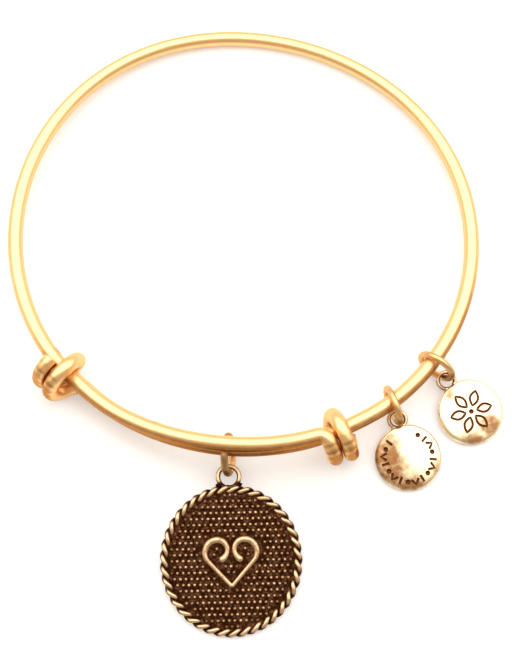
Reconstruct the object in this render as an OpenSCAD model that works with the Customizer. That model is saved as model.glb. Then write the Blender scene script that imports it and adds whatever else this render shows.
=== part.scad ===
// Expandable wire bangle with a cast medallion and two small tags.
// One springy wire makes the loop. Its two ends overlap at the front, and each end is
// wrapped round the other strand, so that the loop can open and close. Three jump rings
// carry the medallion and the tags. The bangle lies on a table: z = 0 is the table, +Z is
// up, and the origin is the loop's centre on the table. Directions are degrees
// anticlockwise from +X, seen from above, so that the front is -90. Millimetres.

/* [Wire loop] */
// Diameter of the bangle's wire
wire_d = 2.05; // [1.7:0.05:2.2]
// Mean diameter of the loop, along the wire's centre
loop_d = 62.1; // [60:0.1:66]
// Oval part of the loop's shape, as a change of its radius
loop_oval = 0.74; // [0:0.02:1]
// Direction in which the oval is longest
loop_oval_dir = -14; // [-20:1:0]
// Egg part of the loop's shape, as a change of its radius
loop_egg = 0.14; // [0:0.02:0.3]
// Squarish part of the loop's shape, as a change of its radius
loop_square = 0.11; // [0:0.01:0.2]
// Direction of the squarish part's first corner
loop_square_dir = 34; // [24:1:44]

/* [Wraps] */
// Radius of each wrap, along the centre of its wire
wrap_r = 2.74; // [2.73:0.01:2.9]
// Advance of a wrap for each full turn
wrap_pitch = 2.2; // [2.15:0.05:2.35]
// Turn of each wrap, from above or below the strand that it holds
wrap_turn = 540; // [500:4:580]
// Direction of the left wrap's middle
left_wrap_dir = -140.2; // [-142:0.2:-138]
// Direction of the right wrap's middle
right_wrap_dir = -66.2; // [-68:0.2:-64]
// How far each wrap's axis stands outside the loop
wrap_out = 0.46; // [0:0.01:0.47]
// How far the held strand is pulled in at each wrap
wrap_in = 0.16; // [0:0.01:0.2]
// Turn of the left wrap's axis away from the strand
left_wrap_skew = 0; // [-5:1:5]
// Turn of the right wrap's axis away from the strand
right_wrap_skew = -8; // [-9:1:0]
// Radius of the sharp bend where a strand turns into its wrap
bend_r = 1.3; // [1.2:0.05:1.6]

/* [Strands] */
// Direction of the place where the medallion's ring parts the strands
parting_dir = -93.5; // [-95:0.5:-92]
// Height of the top strand's centre there
top_strand_z = 6.98; // [6.98:0.02:7.4]
// Height of the lower strand's centre there
low_strand_z = 3.26; // [3.2:0.02:3.28]
// How far the lower strand's left end lies inside the top strand
low_strand_in = 0.45; // [0:0.05:0.6]

/* [Jump rings] */
// Outer diameter of the medallion's ring
ring_d = 5.9; // [5.88:0.01:5.94]
// Wire of the medallion's ring
ring_wire = 1; // [0.92:0.02:1]
// Outer diameter of a small tag's ring
tag_ring_d = 5.7; // [5.68:0.01:5.74]
// Wire of a small tag's ring
tag_ring_wire = 0.9; // [0.84:0.02:0.9]

/* [Medallion] */
// Width over the rope border
medallion_w = 18.7; // [17.5:0.1:19]
// Height over the rope border
medallion_h = 19.7; // [18.5:0.1:20]
// Thickness of the rope border
rope_d = 1.2; // [1.1:0.02:1.3]
// Strokes of the two-strand rope, counted round the border
rope_strokes = 39; // [30:1:44]
// Thickness of the plate inside the border
plate_t = 0.8; // [0.6:0.05:0.9]
// Spacing of the ground's grains along a row
grain_step = 0.74; // [0.7:0.02:1]
// Height of a grain
grain_h = 0.22; // [0.1:0.02:0.3]
// Turn of the rows of grains on the medallion
grain_turn = -0.8; // [-5:0.1:5]
// Height of the raised ornament over the ground
ornament_h = 0.5; // [0.3:0.05:0.6]
// Width of the ornament's strokes
stroke_w = 0.88; // [0.7:0.02:0.94]
// Outer diameter of the medallion's bail
bail_d = 3.42; // [3.3:0.02:3.6]
// Wire of the medallion's bail
bail_wire = 0.6; // [0.55:0.01:0.62]
// Distance of the bail's centre from the medallion's centre
bail_at = 10.88; // [10.8:0.01:10.9]
// Lean of the medallion, from its far edge up to its bail
medallion_lean = 4.5; // [4.4:0.1:4.6]

/* [Small tags] */
// Diameter of a small tag
tag_d = 8.9; // [8.6:0.1:9.2]
// Thickness of a small tag at its rim
tag_t = 0.95; // [0.85:0.05:0.95]
// Outer diameter of a small tag's bail
tag_bail_d = 2.84; // [2.82:0.01:2.88]
// Wire of a small tag's bail
tag_bail_wire = 0.54; // [0.5:0.01:0.54]
// Distance of a tag's bail from the tag's centre
tag_bail_at = 5.3; // [5.28:0.01:5.32]
// Lean of a small tag, from its far edge up to its bail
tag_lean = 6.3; // [6.2:0.1:6.5]
// Depth of the stamped marks
stamp_depth = 0.18; // [0.1:0.01:0.25]
// Width of the stamped marks
stamp_w = 0.34; // [0.25:0.01:0.4]

/* [Hidden] */
wire_r = wire_d / 2;
loop_r = loop_d / 2;
wrap_z = wrap_r + wire_r + 0.015;
wire_sides = 16;
turn_steps = 22;
// A strand bends from bend_lead before its wrap's middle, onto the wrap at the turn wrap_join
bend_lead = wrap_pitch * 3 / 4 + bend_r;
wrap_join = asin((bend_r - wrap_out) / wrap_r);
bend_pull = bend_r * 0.55;

// Eases from 0 to 1 with level ends
function ease(x) = x <= 0 ? 0 : x >= 1 ? 1 : x * x * (3 - 2 * x);
function mix(from, to, x) = from + (to - from) * x;
function unit(v) = v / norm(v);
function bezier(p, x) = pow(1 - x, 3) * p[0] + 3 * x * pow(1 - x, 2) * p[1]
    + 3 * x * x * (1 - x) * p[2] + pow(x, 3) * p[3];

// The loop seen from above
function outward(a) = [cos(a), sin(a), 0];
function along(a) = [-sin(a), cos(a), 0];
function loop_radius(a) = loop_r + loop_oval * cos(2 * (a - loop_oval_dir))
    + loop_egg * cos(3 * a) + loop_square * cos(4 * (a - loop_square_dir));
function over(a, out, z) = outward(a) * (loop_radius(a) + out) + [0, 0, z];

// The loop rests on both wraps and on its back, so its arc slopes down to the back
wrap_line = over(right_wrap_dir, 0, 0) - over(left_wrap_dir, 0, 0);
rest_dir = atan2(wrap_line.y, wrap_line.x) + 90;
function reach(a) = over(a, 0, 0) * outward(rest_dir);
back_reach = max([for (a = [rest_dir - 20 : 1 : rest_dir + 20]) reach(a)]);
front_reach = reach(left_wrap_dir);
function arc_z(a) = mix(wire_r, wrap_z, (back_reach - reach(a)) / (back_reach - front_reach));

// Heights of the two strands of the overlap
bend_turn = bend_lead / loop_r * 180 / PI;
top_end = right_wrap_dir - bend_turn;
low_end = left_wrap_dir + bend_turn;
function top_z(a) = a < parting_dir
    ? mix(wrap_z, top_strand_z, ease((a - left_wrap_dir) / (parting_dir - left_wrap_dir)))
    : mix(top_strand_z, wrap_z + wrap_r, ease((a - parting_dir) / (top_end - parting_dir)));
function low_z(a) = a < parting_dir
    ? mix(wrap_z - wrap_r, low_strand_z, ease((a - low_end) / (parting_dir - low_end)))
    : mix(low_strand_z, wrap_z, ease((a - parting_dir) / (right_wrap_dir - parting_dir)));
function low_out(a) = -low_strand_in * max(0, (parting_dir - a) / (parting_dir - low_end))
    + pull_in(a, right_wrap_dir);

// The strand that a wrap holds is pulled in there
function pull_in(a, wrap_dir) = -wrap_in * (1 - ease(abs(a - wrap_dir - 5) / 14));

// A point of the wire's centre, from the end of the top strand round to the lower one's
function strand(a) = a > left_wrap_dir ? over(a, pull_in(a, left_wrap_dir), top_z(a))
    : a > right_wrap_dir - 360
    ? over(a, pull_in(a, left_wrap_dir) + pull_in(a, right_wrap_dir - 360), arc_z(a))
    : over(a, low_out(a + 360), low_z(a + 360));

// A point of a wrap. side is 1 on the right, where the wire starts over the strand that
// it holds, and -1 on the left, where it starts under it.
function wrap_point(a, side, skew, q) =
    let (n = outward(a + skew), t = along(a + skew))
    over(a, wrap_out, wrap_z) + n * wrap_r * sin(q) + [0, 0, side * wrap_r * cos(q)]
    + t * side * wrap_pitch * (q - 270) / 360;
function wrap_path(a, side, skew) =
    [for (i = [0 : turn_steps])
     wrap_point(a, side, skew, mix(wrap_join, wrap_turn, i / turn_steps))];
// The bend from a strand's end into its wrap
function bend_path(p0, t0, a, side, skew) =
    let (p3 = wrap_point(a, side, skew, wrap_join),
         t3 = unit(wrap_point(a, side, skew, wrap_join + 1) - p3),
         handles = [p0, p0 + t0 * bend_pull, p3 - t3 * bend_pull, p3])
    [for (x = [1 : 5]) bezier(handles, x / 6)];

function reversed(v) = [for (i = [len(v) - 1 : -1 : 0]) v[i]];
arc_step = 4;
strand_turn = top_end - (low_end - 360);
strand_steps = ceil(strand_turn / arc_step);
wire_path = concat(
    reversed(wrap_path(right_wrap_dir, 1, right_wrap_skew)),
    reversed(bend_path(strand(top_end), along(top_end), right_wrap_dir, 1, right_wrap_skew)),
    [for (i = [0 : strand_steps]) strand(top_end - strand_turn * i / strand_steps)],
    bend_path(strand(low_end - 360), -along(low_end), left_wrap_dir, -1, left_wrap_skew),
    wrap_path(left_wrap_dir, -1, left_wrap_skew));

// Directions of a path, and side vectors that are carried along it without twist
function path_dirs(p) = [for (i = [0 : len(p) - 1])
    unit(p[min(i + 1, len(p) - 1)] - p[max(i - 1, 0)])];
function carried(v, d) = unit(v - d * (v * d));
function side_vectors(dirs, v0) =
    [for (i = 0, v = carried(v0, dirs[0]); i < len(dirs);
          i = i + 1, v = i < len(dirs) ? carried(v, dirs[i]) : v) v];

// A round wire along a path, with a radius for each point and slightly rounded ends
module swept_wire(path, radii, sides) {
    dirs = path_dirs(path);
    sv = side_vectors(dirs, [0, 0.3, 1]);
    n = len(path);
    ends = [[0, -0.2, 0.72], [0, 0, 0.95], [n - 1, 0, 0.95], [n - 1, 0.2, 0.72]]; // point, shift, radius
    rows = concat([ends[0], ends[1]], [for (i = [1 : n - 2]) [i, 0, 1]], [ends[2], ends[3]]);
    points = [for (row = rows) let (i = row[0], u = sv[i], w = cross(dirs[i], u))
              for (k = [0 : sides - 1]) path[i] + dirs[i] * row[1] * radii[i]
              + row[2] * radii[i] * (u * cos(k * 360 / sides) + w * sin(k * 360 / sides))];
    m = len(rows);
    faces = concat(
        [[for (k = [0 : sides - 1]) k]],
        [[for (k = [sides - 1 : -1 : 0]) (m - 1) * sides + k]],
        [for (i = [0 : m - 2]) for (k = [0 : sides - 1])
         let (a = i * sides + k, b = i * sides + (k + 1) % sides)
         each [[a, a + sides, b], [b, a + sides, b + sides]]]);
    polyhedron(points, faces);
}

module bangle_wire() {
    color([0.86, 0.68, 0.4])
        swept_wire(wire_path, [for (point = wire_path) wire_r], wire_sides);
}

// A round ring of wire, flat on the XY plane
module wire_ring(outer_d, wire) {
    rotate_extrude($fn = 48) translate([(outer_d - wire) / 2, 0]) circle(d = wire, $fn = 24);
}

// A jump ring that stands on the table: its level diameter points in direction dir, and it
// leans over about that diameter
module standing_ring(x, y, dir, lean, outer_d, wire) {
    height = (outer_d - wire) / 2 * cos(lean) + wire / 2;
    translate([x, y, height]) rotate([0, 0, dir]) rotate([90 + lean, 0, 0])
        wire_ring(outer_d, wire);
}

module medallion_ring() {
    color([0.62, 0.5, 0.3]) standing_ring(-1.83, -31, -92.6, 11.1, ring_d, ring_wire);
}
module left_tag_ring() {
    color([0.8, 0.62, 0.38]) standing_ring(20.2, -24.4, -70, 0, tag_ring_d, tag_ring_wire);
}
module right_tag_ring() {
    color([0.8, 0.62, 0.38]) standing_ring(26.17, -19.02, -36.3, -8.6, tag_ring_d, tag_ring_wire);
}

// Lays a flat piece on the table. Its centre is at x, y, its bail points in direction dir,
// and it leans on its far edge, which is reach from the centre.
module lying(x, y, dir, lean, reach, edge_r) {
    translate([x, y, edge_r * (1 - cos(lean))]) rotate([0, 0, dir - 90])
        translate([0, -reach, 0]) rotate([lean, 0, 0]) translate([0, reach, 0]) children();
}

// The border is a rope of two strands, whose twist runs outward going clockwise. After an
// odd number of strokes its two strands have changed places, where the border closes.
module rope_border(half_w, half_h, r) {
    half = [[-25, 0.78], [20, 1], [65, 0.78], [110, 0.5]]; // angle, radius
    section = [for (lobe = [0, 180]) for (s = half) [s[0] + lobe, s[1] * r]];
    n = rope_strokes * 4;
    m = len(section);
    points = [for (i = [0 : n - 1]) let (a = i * 360 / n) for (s = section)
              let (b = s[0] + 45 * i, out = s[1] * cos(b))
              [(half_w + out) * cos(a), (half_h + out) * sin(a), r + s[1] * sin(b)]];
    faces = [for (i = [0 : n - 1]) for (k = [0 : m - 1])
             let (shift = i == n - 1 && rope_strokes % 2 == 1 ? m / 2 : 0,
                  j = (i + 1) % n * m, k2 = (k + 1) % m,
                  far = j + (k + shift) % m, far2 = j + (k2 + shift) % m)
             each [[i * m + k, i * m + k2, far], [i * m + k2, far2, far]]];
    polyhedron(points, faces);
}

module oval(w, h, z0, z1) {
    translate([0, 0, z0]) linear_extrude(z1 - z0)
        polygon([for (i = [0 : 95]) [w / 2 * cos(i * 3.75), h / 2 * sin(i * 3.75)]]);
}

// A plate with a sawtooth top, whose ridges run at angle a to the Y axis
module ridged_plate(a, z0, z1, pitch, size) {
    n = ceil(size / pitch / 2);
    rotate([0, 0, a]) rotate([90, 0, 0]) linear_extrude(size, center = true)
        polygon(concat([[n * pitch, 0], [-n * pitch, 0]],
                       [for (i = [-n : n]) for (t = [[0, z0], [0.5, z1]])
                        if (i < n || t[0] == 0) [(i + t[0]) * pitch, t[1]]]));
}

// The ground's grains stand in staggered rows, where the crests of two sets of ridges cross
module grained_plate(w, h) {
    row = grain_step * 1.04;
    slant = atan2(grain_step / 2, row);
    pitch = grain_step * cos(slant);
    rotate([0, 0, grain_turn]) intersection() {
        rotate([0, 0, -grain_turn]) oval(w, h, 0.1, plate_t + 1);
        union() for (a = [-slant, slant])
            ridged_plate(a, plate_t + 0.04, plate_t + grain_h, pitch, medallion_h);
    }
}

// The ornament's right half: a scroll that curls in at its top and runs down to a point.
// Its stroke starts as a ball, swells over the lobe and narrows towards the point.
scroll = [for (i = [0 : 26]) let (a = 235 - i * 10.8, r = 1.05 + 0.62 * ease(i / 14))
          [1.75 + r * cos(a), 1.05 + r * sin(a), 0]];
scroll_tip = [0.12, -3.2, 0];
scroll_path = concat(scroll, [for (i = [1 : 5]) mix(scroll[26], scroll_tip, i / 5)]);
function stroke_share(i) = 0.8 + 0.32 * (1 - ease(i / 6)) + 0.3 * ease((i - 5) / 9)
    - 0.4 * ease((i - 15) / 15);
module ornament(z) {
    radii = [for (i = [0 : len(scroll_path) - 1]) stroke_share(i) * stroke_w / 2];
    for (side = [0, 1]) mirror([side, 0, 0]) translate([0, 0, z])
        swept_wire(scroll_path, radii, 10);
}

module medallion() {
    half_w = (medallion_w - rope_d) / 2;
    half_h = (medallion_h - rope_d) / 2;
    inner = 2 * rope_d + 0.3;
    color([0.45, 0.32, 0.18]) lying(-1.42, -44.64, 92, medallion_lean, half_h, rope_d / 2) {
        rope_border(half_w, half_h, rope_d / 2);
        oval(2 * half_w, 2 * half_h, 0.06, plate_t);
        grained_plate(medallion_w - inner, medallion_h - inner);
        ornament(plate_t + ornament_h - stroke_w / 2);
        translate([0, bail_at, rope_d / 2]) wire_ring(bail_d, bail_wire);
    }
}

// A small disc with a bevelled rim, a slightly domed face and a bail
module tag_blank() {
    r = tag_d / 2;
    rotate_extrude($fn = 96) polygon(concat([[0, 0], [r - 0.25, 0], [r, 0.25], [r, tag_t - 0.3]],
        [for (x = [1, 0.75, 0.5, 0.25, 0]) [(r - 0.3) * x, tag_t + 0.14 * (1 - x * x)]]));
    translate([0, tag_bail_at, tag_t / 2]) wire_ring(tag_bail_d, tag_bail_wire);
}

// Stamped marks: a dot, a bar along the tag's radius, a chevron and the outline of a leaf
module dot() { cylinder(h = 1, d = stamp_w * 1.9, $fn = 24); }
module bar(length) { translate([-stamp_w / 2, -length / 2, 0]) cube([stamp_w, length, 1]); }
module chevron() {
    for (a = [-1, 1]) translate([a * 0.25, 0, 0]) rotate([0, 0, a * 32]) bar(1.05);
}
module lens(side_r, apart) {
    intersection_for (s = [-1, 1]) translate([s * apart, 0]) circle(r = side_r, $fn = 72);
}
module leaf(length, width) {
    side_r = (length * length + width * width) / (4 * width);
    apart = side_r - width / 2;
    linear_extrude(1) difference() {
        lens(side_r, apart);
        lens(side_r - stamp_w, apart);
    }
}

module left_tag() {
    color([0.85, 0.68, 0.45]) lying(22.2, -31.05, 105.3, tag_lean, tag_d / 2 - 0.25, 0)
        difference() {
            tag_blank();
            // marks in turn round the rim, from the upper right down to the upper left
            for (i = [0 : 16]) rotate([0, 0, -38 - i * 17.75])
                translate([0, tag_d / 2 - 1.2, tag_t + 0.06 - stamp_depth]) {
                    if (i % 3 == 0) dot();
                    if (i % 3 == 1) bar(0.95);
                    if (i % 3 == 2) chevron();
                }
        }
}
module right_tag() {
    color([0.85, 0.68, 0.45]) lying(30.75, -24.84, 127.2, tag_lean, tag_d / 2 - 0.25, 0)
        difference() {
            tag_blank();
            translate([0, 0, tag_t + 0.12 - stamp_depth]) {
                dot();
                for (i = [0 : 5]) rotate([0, 0, i * 60 + 10]) translate([0, 1.85, 0])
                    leaf(2.1, 1.2);
            }
        }
}

bangle_wire();
medallion_ring();
medallion();
left_tag_ring();
left_tag();
right_tag_ring();
right_tag();
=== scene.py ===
"""Dresses a springy wire bangle with a cast oval medallion and two small stamped tags.

The bangle lies on a table in the frame of its CAD model: metres, the table at Z = 0, the
loop's centre over the origin, and its front, where the medallion lies, towards -Y. The
sizes that the classes hold are in millimetres and degrees.
"""

from __future__ import annotations

import logging
import math
from dataclasses import dataclass, field
from enum import Enum

import bpy
import numpy as np
from mathutils import Matrix, Vector

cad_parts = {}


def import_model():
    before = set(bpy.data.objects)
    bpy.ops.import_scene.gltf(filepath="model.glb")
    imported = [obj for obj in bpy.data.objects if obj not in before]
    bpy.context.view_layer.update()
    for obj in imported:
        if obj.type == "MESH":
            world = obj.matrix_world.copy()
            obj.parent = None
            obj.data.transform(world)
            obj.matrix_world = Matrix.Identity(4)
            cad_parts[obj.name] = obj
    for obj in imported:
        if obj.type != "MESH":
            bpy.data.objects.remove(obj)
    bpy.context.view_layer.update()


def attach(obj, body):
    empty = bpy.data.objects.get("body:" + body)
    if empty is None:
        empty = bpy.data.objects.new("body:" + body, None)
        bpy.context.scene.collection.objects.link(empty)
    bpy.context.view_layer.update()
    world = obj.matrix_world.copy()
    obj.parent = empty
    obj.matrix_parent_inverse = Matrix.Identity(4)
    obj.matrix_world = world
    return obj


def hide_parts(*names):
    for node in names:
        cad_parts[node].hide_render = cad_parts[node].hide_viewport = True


log = logging.getLogger("bangle")

# A millimetre, and the distance under which two points are one, both in metres
MM = 0.001
MERGE_REACH = 1e-6

Triple = tuple[float, float, float]
Colour = Triple
Piece = bpy.types.Object
Socket = bpy.types.NodeSocket


# Modelling helpers


def clear_selection() -> None:
    """Leaves object mode with nothing selected."""
    if bpy.context.object is not None and bpy.context.object.mode != "OBJECT":
        bpy.ops.object.mode_set(mode="OBJECT")
    bpy.ops.object.select_all(action="DESELECT")


def take(piece: Piece) -> None:
    """Makes one piece the only selected and active one.

    Args:
        piece: The object to work on.
    """
    clear_selection()
    piece.select_set(True)
    bpy.context.view_layer.objects.active = piece


def named(name: str) -> Piece:
    """Names the active object and returns it."""
    bpy.context.object.name = name
    return bpy.context.object


def settle() -> None:
    """Moves the selected piece's place, turn and scale into its mesh."""
    bpy.ops.object.transform_apply(location=True, rotation=True, scale=True)


def place(piece: Piece, matrix: Matrix) -> None:
    """Moves a piece's mesh to its place.

    Args:
        piece: The object to place.
        matrix: Where it goes, in metres.
    """
    take(piece)
    piece.matrix_world = matrix
    settle()


def edit_all() -> None:
    """Opens the active piece's mesh with all of it selected."""
    bpy.ops.object.mode_set(mode="EDIT")
    bpy.ops.mesh.select_all(action="SELECT")


def close_up(piece: Piece) -> None:
    """Merges a piece's doubled points and turns its faces outwards.

    Args:
        piece: The object to close.
    """
    take(piece)
    edit_all()
    bpy.ops.mesh.remove_doubles(threshold=MERGE_REACH)
    bpy.ops.mesh.normals_make_consistent(inside=False)
    bpy.ops.object.mode_set(mode="OBJECT")


def spin_round(section: Piece, steps: int) -> None:
    """Spins a section once round the Z axis into a closed piece.

    Args:
        section: The section beside the axis, which becomes the piece.
        steps: How many steps the round has.
    """
    take(section)
    edit_all()
    bpy.ops.mesh.spin(
        steps=steps, angle=math.tau, center=(0, 0, 0), axis=(0, 0, 1), use_auto_merge=True
    )
    close_up(section)


def smooth(piece: Piece, angle: float) -> None:
    """Shades a piece smooth, but for edges sharper than an angle in degrees."""
    take(piece)
    bpy.ops.object.shade_smooth_by_angle(angle=math.radians(angle))


def coat(piece: Piece, material: bpy.types.Material) -> None:
    """Gives a piece its one material."""
    piece.data.materials.clear()
    piece.data.materials.append(material)


class Fusing(Enum):
    """What one solid does to another."""

    ADD = "UNION"
    TAKE_AWAY = "DIFFERENCE"


def fuse(piece: Piece, other: Piece, how: Fusing) -> None:
    """Fuses a closed solid with another one, or cuts it by it. The other one is used up.

    Args:
        piece: The object that is kept.
        other: The object that is added or taken away.
        how: Whether it is added or taken away.
    """
    take(piece)
    step = piece.modifiers.new("fuse", "BOOLEAN")
    step.operation = how.value
    step.solver = "MANIFOLD"
    step.object = other
    bpy.ops.object.modifier_apply(modifier=step.name)
    bpy.data.objects.remove(other, do_unlink=True)


def drawn_line(points: list[Vector], name: str) -> Piece:
    """Draws a chain of edges through points, by extruding one vertex again and again.

    Args:
        points: The points in order, in metres.
        name: The name of the chain.

    Returns:
        A mesh object that holds only the chain.
    """
    clear_selection()
    bpy.ops.mesh.primitive_plane_add(size=MM, location=points[0])
    settle()
    edit_all()
    bpy.ops.mesh.select_mode(type="VERT")
    bpy.ops.mesh.merge(type="CENTER")
    for here, there in zip(points[:-1], points[1:]):
        bpy.ops.mesh.extrude_region_move(TRANSFORM_OT_translate={"value": there - here})
    bpy.ops.object.mode_set(mode="OBJECT")
    return named(name)


def rolled_wire(
    points: list[Vector],
    radius: float,
    name: str,
    sides: int,
    closed: bool = False,
    swell: list[float] | None = None,
) -> Piece:
    """Gives a drawn line the round section of a wire.

    Args:
        points: The wire's centre line, in metres.
        radius: The wire's radius, in metres.
        name: The name of the wire.
        sides: How many sides its section has.
        closed: Whether its two ends meet.
        swell: The radius at each point, as a share of the full one.

    Returns:
        A mesh object, closed at its ends.
    """
    drawn_line(points, name)
    bpy.ops.object.convert(target="CURVE")
    curve = bpy.context.object.data
    curve.dimensions = "3D"
    curve.twist_mode = "MINIMUM"
    curve.bevel_mode = "ROUND"
    curve.bevel_depth = radius
    curve.bevel_resolution = max(sides // 2 - 2, 1)
    curve.use_fill_caps = not closed
    line = curve.splines[0]
    line.use_cyclic_u = closed
    if swell is not None:
        line.points.foreach_set("radius", swell)
    bpy.ops.object.convert(target="MESH")
    wire = bpy.context.object
    close_up(wire)
    return wire


def ball(name: str, at: Vector, size: Vector) -> Piece:
    """Models a ball or a lump.

    Args:
        name: Its name.
        at: Its centre, in millimetres.
        size: Its half width, half depth and half height, in millimetres.

    Returns:
        The ball.
    """
    clear_selection()
    bpy.ops.mesh.primitive_uv_sphere_add(segments=20, ring_count=12, radius=MM)
    lump = named(name)
    place(lump, Matrix.Translation(at * MM) @ Matrix.Diagonal((*size, 1)))
    return lump


def delete_vertices(piece: Piece, chosen: np.ndarray) -> None:
    """Deletes some of a piece's vertices.

    Args:
        piece: The object to trim.
        chosen: True for each vertex that goes.
    """
    take(piece)
    bpy.ops.object.mode_set(mode="EDIT")
    bpy.ops.mesh.select_mode(type="VERT")
    bpy.ops.mesh.select_all(action="DESELECT")
    bpy.ops.object.mode_set(mode="OBJECT")
    piece.data.vertices.foreach_set("select", chosen)
    bpy.ops.object.mode_set(mode="EDIT")
    bpy.ops.mesh.delete(type="VERT")
    bpy.ops.object.mode_set(mode="OBJECT")


# Measures and masks


def write_mask(piece: Piece, name: str, values: np.ndarray) -> None:
    """Stores a number for each of a piece's vertices, for its material to read."""
    mask = piece.data.attributes.new(name=name, type="FLOAT", domain="POINT")
    mask.data.foreach_set("value", values.astype(np.float32))


def vertices_of(piece: Piece) -> np.ndarray:
    """Returns a piece's vertices as rows of X, Y and Z.

    Args:
        piece: The object to read.

    Returns:
        The vertices, in millimetres.
    """
    rows = np.empty(len(piece.data.vertices) * 3, dtype=np.float64)
    piece.data.vertices.foreach_get("co", rows)
    return rows.reshape(-1, 3) / MM


def rise_of(piece: Piece) -> np.ndarray:
    """Returns how far each vertex's normal points up.

    Args:
        piece: The object to read.

    Returns:
        1 where the surface faces up, 0 where it stands and -1 where it faces down.
    """
    rows = np.empty(len(piece.data.vertices) * 3, dtype=np.float32)
    piece.data.vertex_normals.foreach_get("vector", rows)
    return rows.reshape(-1, 3)[:, 2].astype(np.float64)


def distance_to_line(points: np.ndarray, line: list[Vector]) -> np.ndarray:
    """Returns how far points are from a line's nearest point, seen from above.

    Args:
        points: Rows of X and Y, in millimetres.
        line: The line's points, in millimetres.

    Returns:
        A distance for each row.
    """
    best = np.full(len(points), np.inf)
    for p in line:
        best = np.minimum(best, np.hypot(points[:, 0] - p.x, points[:, 1] - p.y))
    return best


def ramp_up(values: np.ndarray, low: float, high: float) -> np.ndarray:
    """Eases numbers from 0 at a low value to 1 at a high one."""
    x = np.clip((values - low) / (high - low), 0.0, 1.0)
    return x * x * (3.0 - 2.0 * x)


def ease(x: float) -> float:
    """Eases from 0 to 1 with level ends."""
    x = min(max(x, 0.0), 1.0)
    return x * x * (3.0 - 2.0 * x)


@dataclass(frozen=True)
class Ramp:
    """A smooth change of a mask along some measure.

    Attributes:
        low: Where it starts.
        high: Where it ends.
        start: The mask before it.
        gain: What it adds to the mask.
    """

    low: float
    high: float
    start: float = 0.0
    gain: float = 1.0

    def of(self, values: np.ndarray, origin: float = 0.0) -> np.ndarray:
        """Returns the mask for measures that are counted from an origin."""
        return self.start + self.gain * ramp_up(values, origin + self.low, origin + self.high)


@dataclass(frozen=True)
class Spot:
    """A round dull mark, seen from above.

    Attributes:
        x: Its place to the right, in millimetres.
        y: Its place to the back.
        radius: Its radius.
        depth: How strong it is, 0 to 1.
        core: The share of its radius that doesn't fade.
    """

    x: float
    y: float
    radius: float
    depth: float
    core: float = 0.2

    def cover(self, x: np.ndarray, y: np.ndarray) -> np.ndarray:
        """Returns how strong the mark is at points to the right and to the back."""
        far = np.hypot(x - self.x, y - self.y)
        return self.depth * (1.0 - ramp_up(far, self.core * self.radius, self.radius))


# The wire's route


@dataclass(frozen=True)
class WrapShape:
    """One end of the wire, wrapped round the other strand.

    Attributes:
        direction: Where the wrap's middle is on the loop, in degrees.
        side: 1 where the wire starts over the strand that it holds, -1 where under it.
        skew: How far the wrap's axis turns away from the strand, in degrees.
    """

    direction: float
    side: int
    skew: float


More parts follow.
